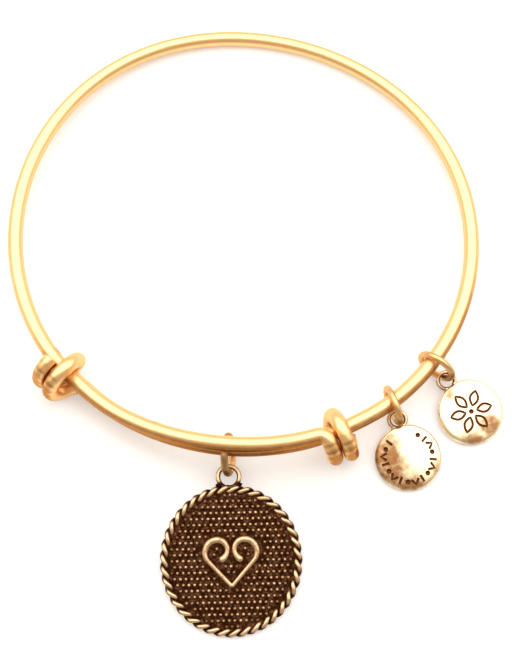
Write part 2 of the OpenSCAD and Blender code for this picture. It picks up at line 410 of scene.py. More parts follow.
@dataclass(frozen=True)
class WireRoute:
    """The centre line of the bangle's wire, in millimetres and degrees."""

    wire_d: float = 2.05
    loop_d: float = 62.1
    loop_oval: float = 0.74
    loop_oval_dir: float = -14.0
    loop_egg: float = 0.14
    loop_square: float = 0.11
    loop_square_dir: float = 34.0
    wrap_r: float = 2.74
    wrap_pitch: float = 2.2
    wrap_turn: float = 540.0
    wrap_out: float = 0.46
    wrap_gap: float = 0.015
    wrap_steps: int = 90
    pull_in_by: float = 0.16
    pull_in_lag: float = 5.0
    pull_in_reach: float = 14.0
    bend_r: float = 1.3
    bend_pull: float = 0.55
    bend_steps: int = 14
    strand_step: float = 1.5
    rest_search: int = 20
    parting_dir: float = -93.5
    top_strand_z: float = 6.98
    low_strand_z: float = 3.26
    low_strand_in: float = 0.45
    left: WrapShape = WrapShape(-140.2, -1, 0.0)
    right: WrapShape = WrapShape(-66.2, 1, -8.0)

    @property
    def wire_r(self) -> float:
        """The wire's radius."""
        return self.wire_d / 2

    @property
    def wrap_z(self) -> float:
        """The height of the held strand, at the middle of each wrap."""
        return self.wrap_r + self.wire_r + self.wrap_gap

    @property
    def wrap_start(self) -> float:
        """The turn at which a wrap takes over from its bend."""
        return math.degrees(math.asin((self.bend_r - self.wrap_out) / self.wrap_r))

    @property
    def bend_turn(self) -> float:
        """How far before its wrap a strand starts to bend, in degrees round the loop."""
        lead = self.wrap_pitch * (self.wrap_turn / 2 / 360) + self.bend_r
        return math.degrees(lead / (self.loop_d / 2))

    @property
    def top_end(self) -> float:
        """Where the top strand bends into the right wrap."""
        return self.right.direction - self.bend_turn

    @property
    def low_end(self) -> float:
        """Where the lower strand bends into the left wrap."""
        return self.left.direction + self.bend_turn

    @staticmethod
    def mix(start: float, end: float, x: float) -> float:
        """Returns the value that lies a share x of the way from start to end."""
        return start + (end - start) * x

    @staticmethod
    def outward(a: float) -> Vector:
        """Returns the level direction away from the loop's centre."""
        return Vector((math.cos(math.radians(a)), math.sin(math.radians(a)), 0.0))

    @staticmethod
    def along(a: float) -> Vector:
        """Returns the level direction along the loop, anticlockwise."""
        return Vector((-math.sin(math.radians(a)), math.cos(math.radians(a)), 0.0))

    def loop_radius(self, a: float) -> float:
        """Works out the loop's radius, which is a little oval, egg-shaped and square.

        Args:
            a: The direction.

        Returns:
            The radius along the wire's centre, in millimetres.
        """
        return (
            self.loop_d / 2
            + self.loop_oval * math.cos(math.radians(2 * (a - self.loop_oval_dir)))
            + self.loop_egg * math.cos(math.radians(3 * a))
            + self.loop_square * math.cos(math.radians(4 * (a - self.loop_square_dir)))
        )

    def over(self, a: float, out: float, z: float) -> Vector:
        """Returns the point in a direction, a little outside the loop, at a height."""
        return self.outward(a) * (self.loop_radius(a) + out) + Vector((0, 0, z))

    def pull_in(self, a: float, wrap_dir: float) -> float:
        """Returns how far a wrap pulls in the strand that it holds."""
        away = abs(a - wrap_dir - self.pull_in_lag) / self.pull_in_reach
        return -self.pull_in_by * (1 - ease(away))

    def arc_z(self, a: float) -> float:
        """Returns the height of the plain arc, which slopes down to the back.

        Args:
            a: The direction.

        Returns:
            The height of the wire's centre, in millimetres.
        """
        line = self.over(self.right.direction, 0, 0) - self.over(self.left.direction, 0, 0)
        rest_dir = math.degrees(math.atan2(line.y, line.x)) + 90
        search = range(-self.rest_search, self.rest_search + 1)
        back = max(self.over(rest_dir + k, 0, 0).dot(self.outward(rest_dir)) for k in search)
        front = self.over(self.left.direction, 0, 0).dot(self.outward(rest_dir))
        here = self.over(a, 0, 0).dot(self.outward(rest_dir))
        return self.mix(self.wire_r, self.wrap_z, (back - here) / (back - front))

    def parted_z(self, a: float, start: float, end: float, z: Triple) -> float:
        """Returns the height of one of the overlap's strands, which part in the middle.

        Args:
            a: The direction.
            start: Where the strand's first slope starts.
            end: Where its second slope ends.
            z: Its height at the start, at the parting and at the end.

        Returns:
            The height of the wire's centre, in millimetres.
        """
        if a < self.parting_dir:
            return self.mix(z[0], z[1], ease((a - start) / (self.parting_dir - start)))
        return self.mix(z[1], z[2], ease((a - self.parting_dir) / (end - self.parting_dir)))

    def top_z(self, a: float) -> float:
        """Returns the height of the overlap's top strand."""
        z = (self.wrap_z, self.top_strand_z, self.wrap_z + self.wrap_r)
        return self.parted_z(a, self.left.direction, self.top_end, z)

    def low_z(self, a: float) -> float:
        """Returns the height of the overlap's lower strand."""
        z = (self.wrap_z - self.wrap_r, self.low_strand_z, self.wrap_z)
        return self.parted_z(a, self.low_end, self.right.direction, z)

    def low_out(self, a: float) -> float:
        """Returns how far the lower strand lies outside the loop."""
        share = max(0.0, (self.parting_dir - a) / (self.parting_dir - self.low_end))
        return -self.low_strand_in * share + self.pull_in(a, self.right.direction)

    def strand(self, a: float) -> Vector:
        """Returns a point of the strands, from the right wrap round to the left one.

        Args:
            a: A direction that falls through more than a full turn: the top strand, the
                plain arc and then the lower strand.

        Returns:
            The point, in millimetres.
        """
        left, right = self.left.direction, self.right.direction
        if a > left:
            return self.over(a, self.pull_in(a, left), self.top_z(a))
        if a > right - 360:
            out = self.pull_in(a, left) + self.pull_in(a, right - 360)
            return self.over(a, out, self.arc_z(a))
        return self.over(a, self.low_out(a + 360), self.low_z(a + 360))

    def wrap_point(self, wrap: WrapShape, q: float) -> Vector:
        """Returns a point of a wrap.

        Args:
            wrap: The wrap.
            q: The turn that the wire has made there, in degrees.

        Returns:
            The point, in millimetres.
        """
        n = self.outward(wrap.direction + wrap.skew)
        t = self.along(wrap.direction + wrap.skew)
        turn = math.radians(q)
        return (
            self.over(wrap.direction, self.wrap_out, self.wrap_z)
            + n * (self.wrap_r * math.sin(turn))
            + Vector((0, 0, wrap.side * self.wrap_r * math.cos(turn)))
            + t * (wrap.side * self.wrap_pitch * (q - self.wrap_turn / 2) / 360)
        )

    def bend(self, start: Vector, heading: Vector, wrap: WrapShape) -> list[Vector]:
        """Returns the sharp bend from a strand's end into its wrap.

        Args:
            start: The strand's end.
            heading: The strand's direction there.
            wrap: The wrap that the bend leads into.

        Returns:
            The points between the strand and the wrap.
        """
        end = self.wrap_point(wrap, self.wrap_start)
        leave = (self.wrap_point(wrap, self.wrap_start + 1) - end).normalized()
        pull = self.bend_r * self.bend_pull
        p = (start, start + heading * pull, end - leave * pull, end)
        points = []
        for i in range(1, self.bend_steps):
            x = i / self.bend_steps
            points.append(
                p[0] * (1 - x) ** 3
                + p[1] * (3 * x * (1 - x) ** 2)
                + p[2] * (3 * x * x * (1 - x))
                + p[3] * x**3
            )
        return points

    def wrap(self, wrap: WrapShape) -> list[Vector]:
        """Returns a wrap's points, from its bend to the wire's end."""
        shares = [i / self.wrap_steps for i in range(self.wrap_steps + 1)]
        return [self.wrap_point(wrap, self.mix(self.wrap_start, self.wrap_turn, x)) for x in shares]

    def points(self) -> list[Vector]:
        """Works out the whole centre line.

        Returns:
            Its points in metres, from the right end to the left one.
        """
        top, low = self.top_end, self.low_end
        turn = top - (low - 360)
        steps = math.ceil(turn / self.strand_step)
        line = [*reversed(self.wrap(self.right))]
        line += reversed(self.bend(self.strand(top), self.along(top), self.right))
        line += [self.strand(top - turn * i / steps) for i in range(steps + 1)]
        line += self.bend(self.strand(low - 360), -self.along(low), self.left)
        line += self.wrap(self.left)
        return [p * MM for p in line]


# Finishes


class Way(Enum):
    """Which side of a shader group a socket is on."""

    IN = "INPUT"
    OUT = "OUTPUT"


def add_node(
    tree: bpy.types.NodeTree, kind: str, inputs: dict[str | int, object], **settings: object
) -> bpy.types.Node:
    """Adds a node to a tree.

    Args:
        tree: The tree.
        kind: The node's type.
        inputs: A socket or a value for each input, by its name or its number.
        **settings: The node's other properties.

    Returns:
        The node.
    """
    node = tree.nodes.new(kind)
    for key, value in settings.items():
        setattr(node, key, value)
    for key, value in inputs.items():
        if isinstance(value, Socket):
            tree.links.new(value, node.inputs[key])
        else:
            node.inputs[key].default_value = value
    return node


class ShaderGroup:
    """A node group that is built once and placed in several materials."""

    noise_roughness: float = 0.55

    def __init__(self, name: str, inputs: dict[str, float]) -> None:
        """Starts a group.

        Args:
            name: The group's name.
            inputs: The default of each input, by its name.
        """
        self.tree = bpy.data.node_groups.new(name, "ShaderNodeTree")
        self.inputs = self.tree.nodes.new("NodeGroupInput")
        self.outputs = self.tree.nodes.new("NodeGroupOutput")
        for key, value in inputs.items():
            self.socket(key, Way.IN).default_value = value

    def socket(self, name: str, way: Way) -> bpy.types.NodeTreeInterfaceSocket:
        """Adds a named input or output that carries a number."""
        kind = "NodeSocketFloat"
        return self.tree.interface.new_socket(name=name, in_out=way.value, socket_type=kind)

    def given(self, name: str) -> Socket:
        """Returns an input, as the nodes inside the group read it."""
        return self.inputs.outputs[name]

    def give(self, name: str, value: Socket) -> None:
        """Adds an output and leads a value to it."""
        self.socket(name, Way.OUT)
        self.tree.links.new(value, self.outputs.inputs[name])

    def noise(self, scale: str, detail: float) -> Socket:
        """Adds a noise over the piece's own place.

        Args:
            scale: The input that gives its scale.
            detail: How many finer layers it has.

        Returns:
            The noise's value, about 0 to 1.
        """
        where = add_node(self.tree, "ShaderNodeTexCoord", {})
        inputs = {
            "Vector": where.outputs["Object"],
            "Scale": self.given(scale),
            "Detail": detail,
            "Roughness": self.noise_roughness,
        }
        noise = add_node(self.tree, "ShaderNodeTexNoise", inputs, noise_dimensions="3D")
        return noise.outputs["Fac"]

    def compute(
        self, operation: str, a: Socket | float, b: Socket | float, clamp: bool = False
    ) -> Socket:
        """Adds a Math node.

        Args:
            operation: The node's operation.
            a: Its first value.
            b: Its second value.
            clamp: Whether the result is kept within 0 and 1.

        Returns:
            The result's socket.
        """
        settings = {"operation": operation, "use_clamp": clamp}
        return add_node(self.tree, "ShaderNodeMath", {0: a, 1: b}, **settings).outputs[0]


def build_satin_group() -> bpy.types.NodeTree:
    """Builds the satin of tumbled plate: cloudy sheen, fine grain, and tarnish with painted shade.

    Returns:
        The group. Its outputs are Cloud, a slow change over the surface from 0 to 1,
        Grain, a fine one, and Dull, the given tarnish and painted shade broken up by the grain.
    """
    group = ShaderGroup(
        "satin_plate",
        {"Cloud Scale": 140.0, "Grain Scale": 3500.0, "Tarnish_and_shade": 0.0, "Break Up": 0.5},
    )
    group.give("Cloud", group.noise("Cloud Scale", 3.0))
    grain = group.noise("Grain Scale", 5.0)
    group.give("Grain", grain)
    centred = group.compute("SUBTRACT", grain, 0.5)
    shift = group.compute("MULTIPLY", centred, group.given("Break Up"))
    broken = group.compute("ADD", shift, 1.0)
    group.give("Dull", group.compute("MULTIPLY", group.given("Tarnish_and_shade"), broken, clamp=True))
    return group.tree


def build_patina_group() -> bpy.types.NodeTree:
    """Builds antique patina: dark where the relief is low, bright where it is rubbed.

    Returns:
        The group. Its input Relief is 0 in the recesses and 1 on the tips, and Break Up is
        how far noise breaks up the line between them. Its outputs are Worn, the mask of
        bare metal, Dark, the mask of the deepest recesses, and Fleck, a fine noise.
    """
    dark_below, dark_gain = 0.35, 4.0
    group = ShaderGroup(
        "antique_patina",
        {
            "Relief": 0.5,
            "Noise Scale": 1500.0,
            "Patch Scale": 420.0,
            "Break Up": 0.3,
            "Wear Start": 0.45,
            "Wear Width": 0.3,
        },
    )
    fleck = group.noise("Noise Scale", 4.0)
    both = group.compute("ADD", fleck, group.noise("Patch Scale", 2.0))
    centred = group.compute("SUBTRACT", both, 1.0)
    shift = group.compute("MULTIPLY", centred, group.given("Break Up"))
    level = group.compute("ADD", group.given("Relief"), shift)
    above = group.compute("SUBTRACT", level, group.given("Wear Start"))
    group.give("Worn", group.compute("DIVIDE", above, group.given("Wear Width"), clamp=True))
    below = group.compute("SUBTRACT", dark_below, level)
    group.give("Dark", group.compute("MULTIPLY", below, dark_gain, clamp=True))
    group.give("Fleck", fleck)
    return group.tree


@dataclass(frozen=True)
class SatinPlate:
    """Satin gold plate.

    Attributes:
        name: The material's name.
        deep: The colour of its deeper patches.
        pale: The colour of its paler patches.
        tarnish_and_shade: The colour of its tarnish and of its painted shade.
        rough: Its mean roughness.
        grain: How much fine grain shows.
    """

    name: str
    deep: Colour
    pale: Colour
    tarnish_and_shade: Colour
    rough: float
    grain: float


@dataclass(frozen=True)
class AntiquePlate:
    """Antiqued metal.

    Attributes:
        name: The material's name.
        recess: The colour of the deepest recesses.
        patina: The colour of the dark ground.
        bare: The colour of the rubbed tips.
        wear_start: The relief at which the rubbing starts.
        wear_width: Over how much relief it becomes complete.
        break_up: How far noise breaks up that line.
        fleck_scale: The scale of that noise's flecks, in waves per metre.
        patch_scale: The scale of its patches, in waves per metre.
        patina_rough: The roughness of the dark ground.
        bare_rough: The roughness of the rubbed tips.
        grain: How much fine grain shows.
    """

    name: str
    recess: Colour
    patina: Colour
    bare: Colour
    wear_start: float
    wear_width: float
    break_up: float
    fleck_scale: float
    patch_scale: float
    patina_rough: float
    bare_rough: float
    grain: float


class Metal:
    """A metal material that reads a mask of its piece through a shared shader group.

    The Mix node's sockets go by number, because it has several of each name.
    """

    grain_height: float = 0.02
    mix_by: int = 0
    mix_low: int = 6
    mix_high: int = 7
    mix_result: int = 2

    def __init__(self, name: str, group: bpy.types.NodeTree, mask: str) -> None:
        """Starts the material.

        Args:
            name: The material's name.
            group: The shader group.
            mask: The piece's mask. The group's input for it has the same name, capitalised.
        """
        self.material = bpy.data.materials.new(name)
        self.material.use_nodes = True
        self.tree = self.material.node_tree
        self.shader = self.tree.nodes["Principled BSDF"]
        self.shader.inputs["Metallic"].default_value = 1.0
        reader = add_node(self.tree, "ShaderNodeAttribute", {}, attribute_name=mask)
        inputs = {mask.capitalize(): reader.outputs["Fac"]}
        self.group = add_node(self.tree, "ShaderNodeGroup", inputs, node_tree=group)

    def paint(self, ground: Colour, layers: dict[str, Colour]) -> None:
        """Lays colours over each other into the base colour.

        Args:
            ground: The lowest colour.
            layers: The other colours, each by the group's output that is its mask.
        """
        below: Socket | tuple[float, ...] = (*ground, 1.0)
        for mask, colour in layers.items():
            inputs = {
                self.mix_by: self.group.outputs[mask],
                self.mix_low: below,
                self.mix_high: (*colour, 1.0),
            }
            node = add_node(self.tree, "ShaderNodeMix", inputs, data_type="RGBA")
            below = node.outputs[self.mix_result]
        self.tree.links.new(below, self.shader.inputs["Base Color"])

    def sheen(self, mask: str, low: float, high: float) -> None:
        """Spreads one of the group's outputs over a range of roughness.

        Args:
            mask: The output's name.
            low: The roughness where it is 0.
            high: The roughness where it is 1.
        """
        inputs = {"To Min": low, "To Max": high, "Value": self.group.outputs[mask]}
        node = add_node(self.tree, "ShaderNodeMapRange", inputs)
        self.tree.links.new(node.outputs["Result"], self.shader.inputs["Roughness"])

    def grain(self, mask: str, strength: float) -> None:
        """Raises one of the group's outputs as fine grain.

        Args:
            mask: The output's name.
            strength: The share of the grain's height that shows.
        """
        inputs = {
            "Distance": self.grain_height * MM,
            "Strength": strength,
            "Height": self.group.outputs[mask],
        }
        node = add_node(self.tree, "ShaderNodeBump", inputs)
        self.tree.links.new(node.outputs["Normal"], self.shader.inputs["Normal"])


class Finishes:
    """Builds each material of the bangle once."""

    rough_change: float = 0.04
    edge_tint: Colour = (1.0, 0.85, 0.62)

    def __init__(self) -> None:
        """Builds the shader groups that the materials share."""
        self.satin = build_satin_group()
        self.patina = build_patina_group()

    def satin_gold(self, plate: SatinPlate) -> bpy.types.Material:
        """Builds satin gold plate, or returns it if it has been built.

        Args:
            plate: The plate's colours and sheen.

        Returns:
            The material.
        """
        if plate.name in bpy.data.materials:
            return bpy.data.materials[plate.name]
        # The mask it reads holds tarnish and painted shade.
        metal = Metal(plate.name, self.satin, "tarnish_and_shade")
        metal.paint(plate.deep, {"Cloud": plate.pale, "Dull": plate.tarnish_and_shade})
        metal.sheen("Cloud", plate.rough - self.rough_change, plate.rough + self.rough_change)
        metal.shader.inputs["Specular Tint"].default_value = (*self.edge_tint, 1.0)
        metal.grain("Grain", plate.grain)
        return metal.material

    def antiqued(self, antique: AntiquePlate) -> bpy.types.Material:
        """Builds antiqued metal, dark in its recesses and rubbed bright on its tips.

        Args:
            antique: The metal's colours and wear.

        Returns:
            The material.
        """
        if antique.name in bpy.data.materials:
            return bpy.data.materials[antique.name]
        metal = Metal(antique.name, self.patina, "relief")
        settings = {
            "Wear Start": antique.wear_start,
            "Wear Width": antique.wear_width,
            "Break Up": antique.break_up,
            "Noise Scale": antique.fleck_scale,
            "Patch Scale": antique.patch_scale,
        }
        for key, value in settings.items():
            metal.group.inputs[key].default_value = value
        metal.paint(antique.patina, {"Dark": antique.recess, "Worn": antique.bare})
        metal.sheen("Worn", antique.patina_rough, antique.bare_rough)
        metal.grain("Fleck", antique.grain)
        return metal.material


# Each plate's tarnish colour also paints shade: along the wire's front strands, between touching
# strands and where a ring runs through its bail.
WIRE_PLATE = SatinPlate(
    name="wire_satin_gold",
    deep=(0.93, 0.57, 0.25),
    pale=(0.96, 0.62, 0.31),
    tarnish_and_shade=(0.38, 0.145, 0.032),
    rough=0.36,
    grain=0.3,
)
SMALL_RING_PLATE = SatinPlate(
    name="small_ring_gold",
    deep=(0.74, 0.45, 0.2),
    pale=(0.84, 0.55, 0.28),
    tarnish_and_shade=(0.26, 0.12, 0.03),
    rough=0.34,
    grain=0.4,
)
DARK_RING_PLATE = SatinPlate(
    name="medallion_ring_gold",
    deep=(0.78, 0.53, 0.29),
    pale=(0.86, 0.6, 0.35),
    tarnish_and_shade=(0.3, 0.17, 0.06),
    rough=0.34,
    grain=0.5,
)
MEDALLION_ANTIQUE = AntiquePlate(
    name="medallion_antique",
    recess=(0.026, 0.007, 0.0018),
    patina=(0.155, 0.066, 0.031),
    bare=(0.72, 0.48, 0.28),
    wear_start=0.42,
    wear_width=0.5,
    break_up=0.7,
    fleck_scale=4600.0,
    patch_scale=1500.0,
    patina_rough=0.5,
    bare_rough=0.34,
    grain=0.9,
)
TAG_ANTIQUE = AntiquePlate(
    name="tag_gold",
    recess=(0.1, 0.033, 0.01),
    patina=(0.3, 0.14, 0.055),
    bare=(0.95, 0.77, 0.5),
    wear_start=0.42,
    wear_width=0.45,
    break_up=0.5,
    fleck_scale=1500.0,
    patch_scale=420.0,
    patina_rough=0.42,
    bare_rough=0.25,
    grain=0.3,
)


# The pieces


@dataclass(frozen=True)
class TarnishAndShadeStretch:
    """A stretch of the wire whose outer side is painted brown: painted shade, partly real tarnish.

    Attributes:
        start: Where it starts, in degrees round the loop.
        end: Where it ends.
        fade: Over how many degrees it fades at both ends.
        depth: How strong it is, 0 to 1.
    """

    start: float
    end: float
    fade: float
    depth: float

    def along(self, angle: np.ndarray) -> np.ndarray:
        """Returns 1 for directions on the stretch and 0 for those beyond its fades."""
        begun = ramp_up(angle, self.start - self.fade, self.start)
        return begun * (1.0 - ramp_up(angle, self.end, self.end + self.fade))


@dataclass
class BangleWire:
    """The springy wire, whose two ends wrap round its overlapped strands."""

    route: WireRoute = field(default_factory=WireRoute)
    sides: int = 40
    end_round: float = 0.32
    end_steps: int = 4
    crease: float = 50.0
    # Painted shade on the front strands' outer side, partly real tarnish.
    stretches: tuple[TarnishAndShadeStretch, ...] = (
        TarnishAndShadeStretch(start=-106.0, end=-72.0, fade=16.0, depth=1.0),
        TarnishAndShadeStretch(start=-138.0, end=-22.0, fade=16.0, depth=0.85),
    )
    outer_line: float = 0.3
    outer_fade: float = 0.5
    specks: tuple[Spot, ...] = (
        Spot(x=-11.0, y=-27.4, radius=0.3, depth=0.9, core=0.4),
        Spot(x=-24.6, y=-17.3, radius=0.26, depth=0.8, core=0.4),
    )
    # Painted shade along each line where two strands touch.
    crevice_near: float = 1.06
    crevice_far: float = 1.62
    crevice_shade: float = 0.95
    own_reach: float = 3.6
    beyond: float = 99.0
    line_stride: int = 3
    batch: int = 8000

    def nearest_strands(self, p: np.ndarray) -> tuple[np.ndarray, np.ndarray]:
        """Finds each point's own strand, and how near another strand comes to it.

        Args:
            p: Points on the wire, in millimetres.

        Returns:
            The nearest point of the wire's centre line for each point, and the distance
            to the nearest point of it that lies further along the wire.
        """
        line = np.array([list(q) for q in self.route.points()]) / MM
        step = np.linalg.norm(np.diff(line, axis=0), axis=1)
        run = np.concatenate([[0.0], np.cumsum(step)])
        line, run = line[:: self.line_stride], run[:: self.line_stride]
        own, other = np.empty_like(p), np.empty(len(p))
        for start in range(0, len(p), self.batch):
            part = slice(start, start + self.batch)
            far = np.linalg.norm(p[part, None, :] - line[None, :, :], axis=2)
            index = far.argmin(axis=1)
            own[part] = line[index]
            far[np.abs(run[None, :] - run[index][:, None]) < self.own_reach] = self.beyond
            other[part] = far.min(axis=1)
        return own, other

    def tarnish_and_shade(self, wire: Piece) -> np.ndarray:
        """Works out how dark each vertex is painted, by tarnish and by painted shade.

        The front's strands are brown on their outer side: painted shade, with some real wear
        in the overlap. Each line where two strands touch is darkened: painted shade. Two small
        specks are real tarnish.

        Args:
            wire: The finished wire.

        Returns:
            0 for clean plate and 1 for the darkest tarnish and painted shade, for each vertex.
        """
        p = vertices_of(wire)
        own, other = self.nearest_strands(p)
        radius = self.route.wire_r
        # Painted shade where another strand of the wire comes close.
        level = 1.0 - ramp_up(other / radius, self.crevice_near, self.crevice_far)
        level *= self.crevice_shade
        angle = np.degrees(np.arctan2(own[:, 1], own[:, 0]))
        level_out = np.stack([np.cos(np.radians(angle)), np.sin(np.radians(angle))], axis=1)
        out = ((p - own)[:, :2] * level_out).sum(axis=1) / radius
        # Painted shade on the outer side of the front strands, partly real tarnish.
        outer = ramp_up(out, self.outer_line, self.outer_line + self.outer_fade)
        for row in self.stretches:
            level = np.maximum(level, row.along(angle) * outer * row.depth)
        for speck in self.specks:
            spot = speck.cover(p[:, 0], p[:, 1])
            level = np.maximum(level, spot * (p[:, 2] > own[:, 2]))
        return level

    def build(self) -> Piece:
        """Models the wire and rounds its two cut ends.

        Returns:
            The wire.
        """
        wire = rolled_wire(self.route.points(), self.route.wire_r * MM, "wire", self.sides)
        take(wire)
        bpy.ops.object.mode_set(mode="EDIT")
        bpy.ops.mesh.select_mode(type="FACE")
        bpy.ops.mesh.select_all(action="DESELECT")
        bpy.ops.mesh.select_face_by_sides(number=4, type="GREATER")
        bpy.ops.mesh.bevel(
            offset=self.end_round * MM,
            segments=self.end_steps,
            affect="EDGES",
            clamp_overlap=True,
        )
        bpy.ops.object.mode_set(mode="OBJECT")
        # The wire's mask holds real specks of tarnish and painted shade.
        write_mask(wire, "tarnish_and_shade", self.tarnish_and_shade(wire))
        smooth(wire, self.crease)
        return wire

    def dress(self, wire: Piece, finishes: Finishes) -> None:
        """Gives the wire its plate and its place on the object.

        Args:
            wire: The wire.
            finishes: The bangle's materials.
        """
        coat(wire, finishes.satin_gold(WIRE_PLATE))
        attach(wire, "root")
        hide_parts("bangle_wire")


@dataclass(frozen=True)
class JumpRing:
    """A round ring of wire that stands on the table.

    Attributes:
        name: The ring's name.
        node: The CAD node that it stands for.
        slot: The record's material slot. It is not used.
        plate: Its finish.
        x: Its centre to the right, in millimetres.
        y: Its centre to the back, in millimetres.
        direction: Where its level diameter points, in degrees.
        lean: How far it leans over about that diameter, in degrees.
        outer_d: Its outer diameter.
        wire_d: Its wire's diameter.
        shade_in_bail: How dark it is painted where it runs through its charm's bail, 0 to 1:
            painted shade.
        worn_top: How tarnished its upper half is, 0 to 1.
        end_fade: Where that painted shade starts and is full, in radii from the centre.
        top_fade: Where the upper half's tarnish starts and is full, in radii over the table.
        section_sides: How many sides its wire has.
        steps: How many steps its round has.
        crease: The sharpest edge that is shaded smooth, in degrees.
    """

    name: str
    node: str
    slot: str
    plate: SatinPlate
    x: float
    y: float
    direction: float
    lean: float
    outer_d: float
    wire_d: float
    shade_in_bail: float
    worn_top: float
    end_fade: tuple[float, float] = (0.45, 0.95)
    top_fade: tuple[float, float] = (0.7, 1.3)
    section_sides: int = 28
    steps: int = 96
    crease: float = 60.0

    def tarnish_and_shade(self, ring: Piece) -> np.ndarray:
        """Works out the tarnish at the ring's upper half, and the painted shade where it runs
        through its charm's bail.

        Args:
            ring: The ring in its place.

        Returns:
            0 for clean plate and 1 for the darkest tarnish and painted shade, for each vertex.
        """
        p = vertices_of(ring)
        radius = self.outer_d / 2
        ahead = math.radians(self.direction)
        reach = (p[:, 0] - self.x) * math.cos(ahead) + (p[:, 1] - self.y) * math.sin(ahead)
        # Painted shade where the ring runs through the bail.
        contact = ramp_up(reach, *(share * radius for share in self.end_fade))
        upper = ramp_up(p[:, 2], *(share * radius for share in self.top_fade))
        return np.maximum(self.shade_in_bail * contact, self.worn_top * upper)

    def build(self) -> Piece:
        """Spins the wire's round section into a ring and stands it up.

        Returns:
            The ring.
        """
        centre_r = (self.outer_d - self.wire_d) / 2
        clear_selection()
        bpy.ops.mesh.primitive_circle_add(
            vertices=self.section_sides,
            radius=self.wire_d / 2 * MM,
            fill_type="NOTHING",
            location=(centre_r * MM, 0, 0),
            rotation=(math.radians(90), 0, 0),
        )
        settle()
        ring = named(self.name)
        spin_round(ring, self.steps)
        height = centre_r * math.cos(math.radians(self.lean)) + self.wire_d / 2
        stand = (
            Matrix.Translation(Vector((self.x, self.y, height)) * MM)
            @ Matrix.Rotation(math.radians(self.direction), 4, "Z")
            @ Matrix.Rotation(math.radians(90 + self.lean), 4, "X")
        )
        place(ring, stand)
        # The ring's mask holds tarnish and painted shade.
        write_mask(ring, "tarnish_and_shade", self.tarnish_and_shade(ring))
        smooth(ring, self.crease)
        return ring

    def dress(self, ring: Piece, finishes: Finishes) -> None:
        """Gives the ring its plate and its place on the object.

        Args:
            ring: The ring.
            finishes: The bangle's materials.
        """
        coat(ring, finishes.satin_gold(self.plate))
        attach(ring, "root")
        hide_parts(self.node)


@dataclass(frozen=True)
class LyingPlace:
    """Where a flat piece lies: its bail is raised and its far edge is on the table.

    Attributes:
        x: Its centre to the right, in millimetres.
        y: Its centre to the back, in millimetres.
        direction: Where its bail points, in degrees.
        lean: How far it leans, in degrees.
        reach: The distance of its far edge from its centre.
        edge_r: The radius of that edge's underside.
    """

    x: float
    y: float
    direction: float
    lean: float
    reach: float
    edge_r: float

    def matrix(self) -> Matrix:
        """Works out how the piece is laid down.

        Returns:
            The matrix that does it, in metres.
        """
        lean = math.radians(self.lean)
        rise = self.edge_r * (1 - math.cos(lean))
        return (
            Matrix.Translation(Vector((self.x, self.y, rise)) * MM)
            @ Matrix.Rotation(math.radians(self.direction - 90), 4, "Z")
            @ Matrix.Translation(Vector((0, -self.reach, 0)) * MM)
            @ Matrix.Rotation(lean, 4, "X")
            @ Matrix.Translation(Vector((0, self.reach, 0)) * MM)
        )


@dataclass(frozen=True)
class Bail:
    """The flat wire ring by which a charm hangs.

    Attributes:
        outer_d: Its outer diameter, in millimetres.
        wire_d: Its wire's diameter.
        out: How far its centre is from the charm's centre.
        z: The height of its centre.
        round_steps: How many steps its round has.
        sides: How many sides its wire has.
    """

    outer_d: float
    wire_d: float
    out: float
    z: float
    round_steps: int = 72
    sides: int = 20

    def build(self) -> Piece:
        """Models the bail.

        Returns:
            The bail.
        """
        clear_selection()
        bpy.ops.mesh.primitive_torus_add(
            major_radius=(self.outer_d - self.wire_d) / 2 * MM,
            minor_radius=self.wire_d / 2 * MM,
            major_segments=self.round_steps,
            minor_segments=self.sides,
            location=Vector((0, self.out, self.z)) * MM,
        )
        settle()
        return named("bail")

    def from_hole(self, p: np.ndarray, ramp: Ramp) -> np.ndarray:
        """Returns a mask that changes with the distance of points from the bail's hole."""
        hole = self.outer_d / 2 - self.wire_d
        return ramp.of(np.hypot(p[:, 0], p[:, 1] - self.out), hole)


@dataclass(frozen=True)
class Scroll:
    """The right half of the medallion's heart, drawn in steps that turn round its lobe.

    The stroke starts as a ball in the curl, swells over the lobe and narrows towards the
    point. A span is the step at which a change starts, and over how many steps it goes on.
    """

    lobe_x: float = 1.75
    lobe_y: float = 1.05
    tip_x: float = 0.12
    tip_y: float = -3.2
    first_dir: float = 235.0
    step_turn: float = 10.8
    first_r: float = 1.05
    widening: float = 0.62
    widening_steps: int = 14
    lobe_steps: int = 26
    tip_steps: int = 5
    points_a_step: int = 3
    thinnest: float = 0.8
    ball_more: float = 0.32
    ball_steps: int = 6
    lobe_more: float = 0.3
    lobe_span: tuple[int, int] = (5, 9)
    tip_less: float = 0.4
    tip_span: tuple[int, int] = (15, 15)

    def share(self, i: float) -> float:
        """Works out the stroke's width.

        Args:
            i: The step, which may lie between two whole ones.

        Returns:
            The width there, as a share of the full one.
        """
        start = ease(i / self.ball_steps)
        lobe = ease((i - self.lobe_span[0]) / self.lobe_span[1])
        tip = ease((i - self.tip_span[0]) / self.tip_span[1])
        more = self.ball_more * (1 - start)
        return self.thinnest + more + self.lobe_more * lobe - self.tip_less * tip

    def stroke(self) -> tuple[list[Vector], list[float]]:
        """Works out the stroke.

        Returns:
            Its centre line in millimetres, and its width at each point as a share of the
            full one.
        """
        line, shares = [], []
        lobe_end = Vector((0, 0, 0))
        for k in range((self.lobe_steps + self.tip_steps) * self.points_a_step + 1):
            i = k / self.points_a_step
            if i <= self.lobe_steps:
                a = math.radians(self.first_dir - i * self.step_turn)
                r = self.first_r + self.widening * ease(i / self.widening_steps)
                x, y = self.lobe_x + r * math.cos(a), self.lobe_y + r * math.sin(a)
                lobe_end = Vector((x, y, 0))
                line.append(lobe_end)
            else:
                tip = Vector((self.tip_x, self.tip_y, 0))
                line.append(lobe_end.lerp(tip, (i - self.lobe_steps) / self.tip_steps))
            shares.append(self.share(i))
        return line, shares


